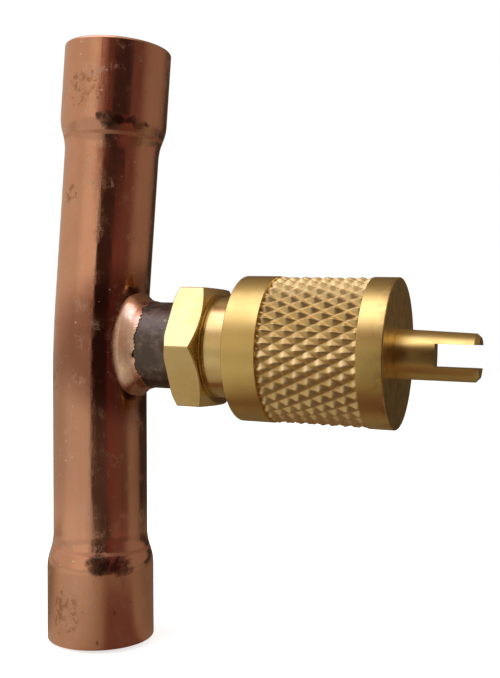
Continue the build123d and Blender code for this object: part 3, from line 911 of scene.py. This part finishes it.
# %% Geometry tree for the knurl: one diamond
knurl, start, end = new_group(
    "knurl", "GeometryNodeTree",
    {"Geometry": ("Geometry", None), "Diamonds Round": ("Int", 36), "Rows": ("Int", 11),
     "Pitch": ("Float", 0.00215), "Root Radius": ("Float", 0.0065), "Depth": ("Float", 0.00046),
     "Blunt": ("Float", 0.08), "Start": ("Float", 0.0), "Uneven": ("Float", 0.0), "Seed": ("Int", 3),
     "Worn": ("Int", 2), "Material": ("Material", None)},
    {"Geometry": ("Geometry", None)},
)
half_pitch = calc(knurl, "MULTIPLY", start["Pitch"], 0.5)
width = calc(knurl, "DIVIDE", product(knurl, start["Root Radius"], 2 * math.pi), start["Diamonds Round"])
cone = node(knurl, "GeometryNodeMeshCone", {
    "Vertices": 4, "Side Segments": 1, "Radius Top": start["Blunt"], "Radius Bottom": 1.0,
    "Depth": 1.0}).outputs
no_base = node(knurl, "GeometryNodeDeleteGeometry", {
    "Geometry": cone["Mesh"], "Selection": cone["Bottom"]}, domain="FACE").outputs[0]
diamond = node(knurl, "GeometryNodeTransform", {
    "Geometry": no_base,
    "Scale": vector_of(knurl, half_pitch, product(knurl, width, 0.5), start["Depth"]),
}).outputs[0]

# %% Geometry tree for the knurl: the lattice
number = node(knurl, "GeometryNodeInputIndex").outputs[0]
row = calc(knurl, "FLOOR", calc(
    knurl, "DIVIDE", calc(knurl, "ADD", number, 0.5), start["Diamonds Round"]))
column = calc(knurl, "SUBTRACT", number, product(knurl, row, start["Diamonds Round"]))
shift = product(knurl, calc(knurl, "MODULO", row, 2.0), 0.5)
across = product(knurl, calc(knurl, "ADD", column, shift), width)
places = node(knurl, "GeometryNodePoints", {
    "Count": product(knurl, start["Diamonds Round"], start["Rows"]),
    "Position": vector_of(knurl, product(knurl, row, half_pitch), across),
}).outputs[0]
own_height = node(knurl, "FunctionNodeRandomValue", {
    2: calc(knurl, "SUBTRACT", 1.0, start["Uneven"]), 3: 1.0, "ID": number, "Seed": start["Seed"],
}, data_type="FLOAT").outputs[1]
set_out = node(knurl, "GeometryNodeInstanceOnPoints", {
    "Points": places, "Instance": diamond, "Scale": vector_of(knurl, 1.0, 1.0, own_height)}).outputs[0]
real = node(knurl, "GeometryNodeRealizeInstances", {"Geometry": set_out}).outputs[0]


# %% Geometry tree for the knurl: worn, and rolled round the cap
def weld(shape):
    return node(knurl, "GeometryNodeMergeByDistance", {"Geometry": shape, "Distance": 1e-6}).outputs[0]


fine = node(knurl, "GeometryNodeSubdivideMesh", {"Mesh": weld(real), "Level": 2}).outputs[0]
at = node(knurl, "GeometryNodeInputPosition").outputs[0]
x, y, z = xyz(knurl, at)
off_floor = between(knurl, z, product(knurl, start["Depth"], 0.05), product(knurl, start["Depth"], 0.4))
blurred = node(knurl, "GeometryNodeBlurAttribute", {
    "Iterations": start["Worn"], "Weight": off_floor}, data_type="FLOAT_VECTOR")
knurl.links.new(at, next(i for i in blurred.inputs if i.enabled and i.name == "Value"))
worn = node(knurl, "GeometryNodeSetPosition", {
    "Geometry": fine, "Position": next(o for o in blurred.outputs if o.enabled)}).outputs[0]
turn = calc(knurl, "DIVIDE", y, start["Root Radius"])
radius = calc(knurl, "ADD", start["Root Radius"], z)
rolled = node(knurl, "GeometryNodeSetPosition", {
    "Geometry": worn,
    "Position": vector_of(
        knurl, calc(knurl, "ADD", x, start["Start"]),
        product(knurl, radius, calc(knurl, "COSINE", turn)),
        product(knurl, radius, calc(knurl, "SINE", turn))),
}).outputs[0]
painted = node(knurl, "GeometryNodeSetMaterial", {
    "Geometry": weld(rolled), "Material": start["Material"]})
knurl.links.new(painted.outputs[0], end["Geometry"])

# %% Knurled sleeve of the cap
ROUND, ROWS, PITCH, DEPTH, MOVED_ALONG = 36, 11, 2.15, 0.438, 0.15
OVERLAP, SLEEVE_WALL = 0.015, 0.15


def close_sleeve(mesh):
    """Cuts the knurl off square at both lands and closes it with a ring inside the bed."""
    work = bmesh.new()
    work.from_mesh(mesh)
    for x, way in ((KNURL_START_X - OVERLAP, -1), (KNURL_END_X + OVERLAP, 1)):
        bmesh.ops.bisect_plane(
            work, geom=work.verts[:] + work.edges[:] + work.faces[:], dist=1e-8,
            plane_co=(x * MM, 0, 0), plane_no=(way, 0, 0), clear_outer=True)
    rim_edges = [e for e in work.edges if len(e.link_faces) == 1]
    inside = bmesh.ops.extrude_edge_only(work, edges=rim_edges)["geom"]
    for v in (g for g in inside if isinstance(g, bmesh.types.BMVert)):
        off = Vector((0, v.co.y, v.co.z)).normalized() * (BED_R - SLEEVE_WALL) * MM
        v.co.y, v.co.z = off.y, off.z
    bmesh.ops.bridge_loops(work, edges=[g for g in inside if isinstance(g, bmesh.types.BMEdge)])
    work.to_mesh(mesh)
    work.free()


middle_x = (KNURL_START_X + KNURL_END_X) / 2
cap_knurl = grown("cap_knurl", knurl, cap_brass, "cap", {
    "Diamonds Round": ROUND, "Rows": ROWS, "Pitch": PITCH * MM, "Root Radius": (CAP_R - 0.44) * MM,
    "Depth": DEPTH * MM, "Blunt": 0.12, "Uneven": 0.12, "Worn": 3,
    "Start": (middle_x - (ROWS - 1) / 4 * PITCH + MOVED_ALONG) * MM,
}, close_sleeve)
cap_knurl.data.set_sharp_from_angle(angle=math.radians(55))
crest = max(math.hypot(v.co.y, v.co.z) for v in cap_knurl.data.vertices)
print("knurl crest radius, mm:", round(crest / MM, 3))

# %% [markdown]
# ## Key on the cap
# Two prongs fit over the core's tongue. They are what a saw leaves of a round pin, so a Boolean cuts
# the slot, and a Bevel rounds the edges, which also shows where the tip's chamfer ends. The saw went
# in slightly askew, and the upper prong is filed thinner towards its tip.

# %% Round pin, and the saw that cuts it
SLOT_ASKEW, KEY_CHAMFER, KEY_ROOT = 5.6, 0.38, 0.2
SAW_LENGTH, SAW_HEIGHT = 6.0, 8.0
outline = soften([
    (CAP_END_X - KEY_ROOT, 0, 0), (CAP_END_X - KEY_ROOT, KEY_R, 0.03),
    (KEY_END_X - KEY_CHAMFER, KEY_R, 0.05), (KEY_END_X, KEY_R - KEY_CHAMFER, 0.05), (KEY_END_X, 0, 0),
])
pin = placed("key_pin", mesh_in_mm("key_pin", *skin(turned_rings(outline, EVEN))))
clean(pin.data)

saw = placed("key_slot", bpy.data.meshes.new("key_slot"))
near_end = Matrix.Translation((KEY_SLOT_X * MM, -KEY_R * MM, 0))
askew = near_end @ Matrix.Rotation(math.radians(SLOT_ASKEW), 4, "Z")
block = Matrix.Translation((SAW_LENGTH / 2 * MM, KEY_R * MM, 0)) @ Matrix.Diagonal(
    (SAW_LENGTH * MM, SAW_HEIGHT * MM, KEY_SLOT_WIDTH * MM, 1))
work = bmesh.new()
bmesh.ops.create_cube(work, size=1.0, matrix=askew @ block)
work.to_mesh(saw.data)
work.free()

# %% Two-pronged key
PRONG_TAPER, TAPER_FROM = 0.24, 1.0
cut = pin.modifiers.new("slot", "BOOLEAN")
cut.object, cut.operation, cut.solver = saw, "DIFFERENCE", "EXACT"
ease = pin.modifiers.new("edges", "BEVEL")
ease.width, ease.segments, ease.limit_method, ease.angle_limit = 0.045 * MM, 3, "ANGLE", math.radians(40)
key_mesh = bpy.data.meshes.new_from_object(pin.evaluated_get(bpy.context.evaluated_depsgraph_get()))
key_mesh.name = "key"
for tool in (pin, saw):
    bpy.data.objects.remove(tool)
for v in key_mesh.vertices:
    share = max(0.0, v.co.x / MM - CAP_END_X) / (KEY_END_X - CAP_END_X)
    up_prong = max(0.0, min(1.0, (v.co.z / MM - TAPER_FROM) / (KEY_R - TAPER_FROM)))
    v.co.z -= PRONG_TAPER * MM * share * up_prong
adopt("key", key_mesh, cap_brass, "cap")

# %% [markdown]
# ## Seal and core
# The seal is a flat rubber ring with rounded edges. The small pieces of the valve core keep their
# CAD shapes, which are right as they are, and only get their materials.

# %% Seal, and finishes for the core's pieces
seal_low, seal_high = (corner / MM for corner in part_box("cap_seal"))
outline = soften([
    (seal_low.x, RECESS_R, 0.12), (seal_low.x, seal_high.z, 0.2),
    (seal_high.x, seal_high.z, 0.2), (seal_high.x, RECESS_R, 0.12),
], loop=True)
piece("seal", *skin(turned_rings(outline, EVEN), loop=True), rubber, "seal", "seal_rubber", ["cap_seal"])
for name, material in {
    "core_head": core_brass, "core_barrel": core_brass, "core_pin": core_brass, "core_cup": core_brass,
    "core_gasket": ptfe, "core_seat": rubber, "core_spring": wire,
}.items():
    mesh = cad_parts[name].data
    mesh.materials.clear()
    mesh.materials.append(material)

# %% [markdown]
# ## Studio
# Polished metal shows the room more than itself. The valve stands on a pale floor in front of a pale
# backdrop, with a wide window on its left, a soft lamp above and a painted reflection of a dark camera
# in front, and those make the bright side, the highlight and the dark stripe on the tube. Light Path
# tells the rays apart: the camera sees a plain pale studio, and the metal reflects the room and a floor
# that glows with painted pools of light and painted shadows of the camera and the cap.

# %% Camera
camera_data = bpy.data.cameras.new("camera")
camera_data.lens, camera_data.sensor_width = 49.57, 36.0
camera_data.clip_start = 0.002
camera = placed("camera", camera_data)
right = Vector((0.93560, 0.35170, 0.03096))
back = Vector((0.35168, -0.93610, 0.00627))
axes = Matrix((right, back.cross(right), back)).transposed()
camera.matrix_world = Matrix.Translation((48.276 * MM, -84.624 * MM, 1.475 * MM)) @ axes.to_4x4()
bpy.context.scene.camera = camera
print("camera, mm:", [round(c / MM, 1) for c in camera.matrix_world.translation])


# %% Directions and light in the studio
def direction(azimuth, elevation=0.0):
    """Unit vector from the valve, in degrees: azimuth 0 looks along -Y, and 90 along +X."""
    a, e = math.radians(azimuth), math.radians(elevation)
    return Vector((math.sin(a) * math.cos(e), -math.cos(a) * math.cos(e), math.sin(e)))


def turned_to(tree, vector, aim, length, dark_at, bright_at):
    """0 to 1 as a vector of this length turns from dark_at to bright_at degrees off an aim."""
    dot = vector_calc(tree, "DOT_PRODUCT", vector, aim)
    cosine = dot if length is None else calc(tree, "DIVIDE", dot, length)
    return between(tree, cosine, math.cos(math.radians(dark_at)), math.cos(math.radians(bright_at)))


def glow(tree, kind, colour, strength=1.0):
    """Light given off by a surface (Emission) or by the world (Background)."""
    if not isinstance(colour, bpy.types.NodeSocket):
        colour = (*colour, 1.0)
    return node(tree, "ShaderNode" + kind, {"Color": colour, "Strength": strength}).outputs[0]


def for_rays(tree, kind, others, these):
    """One shader for rays of a kind, such as Camera or Glossy, and another for the others."""
    is_kind = node(tree, "ShaderNodeLightPath").outputs[f"Is {kind} Ray"]
    return node(tree, "ShaderNodeMixShader", {0: is_kind, 1: others, 2: these}).outputs[0]


def sum_of(tree, *shaders):
    total = shaders[0]
    for shader in shaders[1:]:
        total = node(tree, "ShaderNodeAddShader", {0: total, 1: shader}).outputs[0]
    return total


# %% World
WHITE, WARM_WHITE, RED_BROWN = (1.0, 1.0, 1.0), (1.0, 0.86, 0.66), (1.0, 0.70, 0.48)
world = bpy.data.worlds.new("room")
bpy.context.scene.world = world
world.use_nodes = True
tree = world.node_tree
tree.nodes.clear()
way = node(tree, "ShaderNodeTexCoord").outputs["Generated"]


def facing(azimuth, elevation, dark_at, bright_at):
    """0 to 1 as a ray's direction turns towards a place in the room, in degrees."""
    return turned_to(tree, way, direction(azimuth, elevation), None, dark_at, bright_at)


window = facing(-60, 0, 93, 70)
bright_pane = facing(-12, 0, 34, 12)
lamp_glow = facing(-48, 60, 34, 12)
wall = facing(122, 6, 42, 14)
red_wall = facing(75, 0, 25, 12)
above = facing(0, 90, 80, 30)
ceiling_glow = facing(32, 66, 36, 14)
dark_corner = facing(176, 0, 20, 8)
room = sum_of(
    tree,
    glow(tree, "Background", WARM_WHITE, weighted(tree, (window, 0.42), (bright_pane, 0.13))),
    glow(tree, "Background", (0.85, 0.86, 1.06), product(tree, lamp_glow, 1.35)),
    glow(tree, "Background", WARM_WHITE, product(tree, ceiling_glow, 0.50)),
    glow(tree, "Background", RED_BROWN, weighted(tree, (wall, 0.15), (above, 0.12))),
    glow(tree, "Background", mixed(tree, red_wall, RED_BROWN, (1.25, 0.55, 0.40)),
         weighted(tree, (dark_corner, -0.05), base=0.10)),
)
lit = for_rays(tree, "Glossy", glow(tree, "Background", (1.0, 0.97, 0.92), 0.35), room)
shown = for_rays(tree, "Camera", lit, glow(tree, "Background", WHITE))
tree.links.new(shown, node(tree, "ShaderNodeOutputWorld").inputs["Surface"])
print("world:", len(tree.nodes), "nodes")


# %% Floor
def stage_plane(name, corners, material):
    made = placed(name, mesh_in_mm(name, corners, [(0, 1, 2, 3)]))
    made.data.materials.append(material)
    return made


FLOOR_GAP, FLOOR_HALF = 0.02, 900
FLOOR_Z = cad_box[0].z / MM - FLOOR_GAP
floor_look, tree, place, into = finish(
    "pale_floor", 0.0, Roughness=0.9, Base_Color=(0.80, 0.80, 0.80, 1.0))
out_on_floor = scaled(tree, place, (1.0, 1.0, 0.0))
far_off = vector_calc(tree, "LENGTH", out_on_floor)


def reaching(start, full, low=0.0, high=1.0):
    """0 to 1 as a place on the floor goes from one distance to another, in millimetres."""
    return between(tree, far_off, start * MM, full * MM, low, high)


def towards(azimuth, dark_at, bright_at, *reach):
    """0 to 1 on one side of the tube, in degrees, and there only as far as it reaches."""
    side = turned_to(tree, out_on_floor, direction(azimuth), far_off, dark_at, bright_at)
    return product(tree, side, reaching(*reach)) if reach else side


# Painted light on the floor that only reflections see: the floor glows for glossy rays with painted
# pools of light from the window and the wall, a painted reddish glow, painted shadows of the camera and
# of the cap, and a painted fall-off near and behind the valve.
painted_window_pool = calc(
    tree, "MAXIMUM", towards(-28, 70, 12, 20, 60, 0.22, 0.40), towards(-80, 70, 30, 30, 70, 0.0, 0.30))
painted_camera_shadow = towards(33, 25, 17, 42, 66)
painted_cap_shadow = towards(66, 34, 16, 42, 26)
painted_wall_pool = towards(118, 25, 8, 45, 80)
painted_red_glow = towards(74, 26, 14, 40, 60)
painted_floor_level = weighted(
    tree, (painted_window_pool, 1.0), (reaching(105, 35), 0.14), (painted_cap_shadow, -0.09), (painted_wall_pool, 0.14),
    (painted_red_glow, 0.03), (towards(165, 60, 20), -0.045), base=0.085)
painted_floor_tint = mixed(tree, calc(tree, "MAXIMUM", painted_cap_shadow, painted_red_glow), (1.0, 0.74, 0.48), (1.0, 0.48, 0.32))
painted_floor_glow = glow(
    tree, "Emission", mixed(tree, between(tree, painted_window_pool, 0.0, 0.3), painted_floor_tint, WARM_WHITE),
    product(tree, painted_floor_level, weighted(tree, (painted_camera_shadow, -0.80), base=1.0)))
shaded = tree.nodes["Principled BSDF"].outputs[0]
lifted = sum_of(tree, shaded, glow(tree, "Emission", WHITE, 0.72))
shown = for_rays(tree, "Glossy", for_rays(tree, "Camera", shaded, lifted), painted_floor_glow)
tree.links.new(shown, tree.nodes["Material Output"].inputs["Surface"])
stage_plane("floor", [
    (x * FLOOR_HALF, y * FLOOR_HALF, FLOOR_Z) for x, y in ((-1, -1), (1, -1), (1, 1), (-1, 1))
], floor_look)
print("floor at, mm:", round(FLOOR_Z, 2))

# %% Painted reflection of the dark camera and its sleeve: a glowing card that only the metal sees
painted_reflection_look, tree, place, into = finish("painted_camera_reflection", 0.0)
across, _, height = xyz(tree, place)
sleeve = product(
    tree, between(tree, across, 40 * MM, 34 * MM), between(tree, height, 26 * MM, 34 * MM))
cuff = product(tree, sleeve, between(tree, across, 20 * MM, 8 * MM))
red_side = product(
    tree, between(tree, across, 60 * MM, 70 * MM), between(tree, height, 34 * MM, 14 * MM))
# Painted reflection: the card glows in colours that paint the camera, a dark sleeve, a lit cuff and a
# reddish side into the metal.
low_part = between(tree, height, 0.0, -24 * MM)
colour = coated(
    tree, (0.036, 0.018, 0.014), (low_part, 1.0, (0.070, 0.044, 0.034)),
    (sleeve, 1.0, (0.105, 0.040, 0.027)), (cuff, 1.0, (0.28, 0.15, 0.105)),
    (red_side, 1.0, (0.135, 0.044, 0.032)))
tree.links.new(glow(tree, "Emission", colour), tree.nodes["Material Output"].inputs["Surface"])
for name, corners in {
    "dark_camera": [(13, -96, -36), (93, -50, -36), (93, -50, 75), (13, -96, 75)],
    "dark_sleeve": [(-10, -99, 32), (13, -96, 32), (13, -96, 75), (-10, -99, 75)],
}.items():
    card = stage_plane(name, corners, painted_reflection_look)
    for ray in ("camera", "diffuse", "shadow", "transmission"):
        setattr(card, "visible_" + ray, False)


# %% Lamps
AIM_X = 10


def lamp(name, azimuth, elevation, distance, size, watts):
    """Round area lamp aimed at the valve, too plain to be shown in the metal."""
    data = bpy.data.lights.new(name, "AREA")
    data.shape, data.size, data.energy = "DISK", size * MM, watts
    made = placed(name, data)
    out = direction(azimuth, elevation)
    made.location = out * distance * MM + Vector((AIM_X * MM, 0, 0))
    made.rotation_euler = out.to_track_quat("Z", "Y").to_euler()
    made.visible_glossy = False
    print(name, "at, mm:", [round(c / MM) for c in made.location])


lamp("soft_key", -48, 60, 400, 260, 1.2)
lamp("soft_fill", 70, 40, 500, 400, 0.5)

# %% [markdown]
# ## Last steps
# The view transform stays plain, so that a colour shows as it was written.

# %% Finish
bpy.context.scene.view_settings.view_transform = "Standard"
bpy.context.view_layer.update()
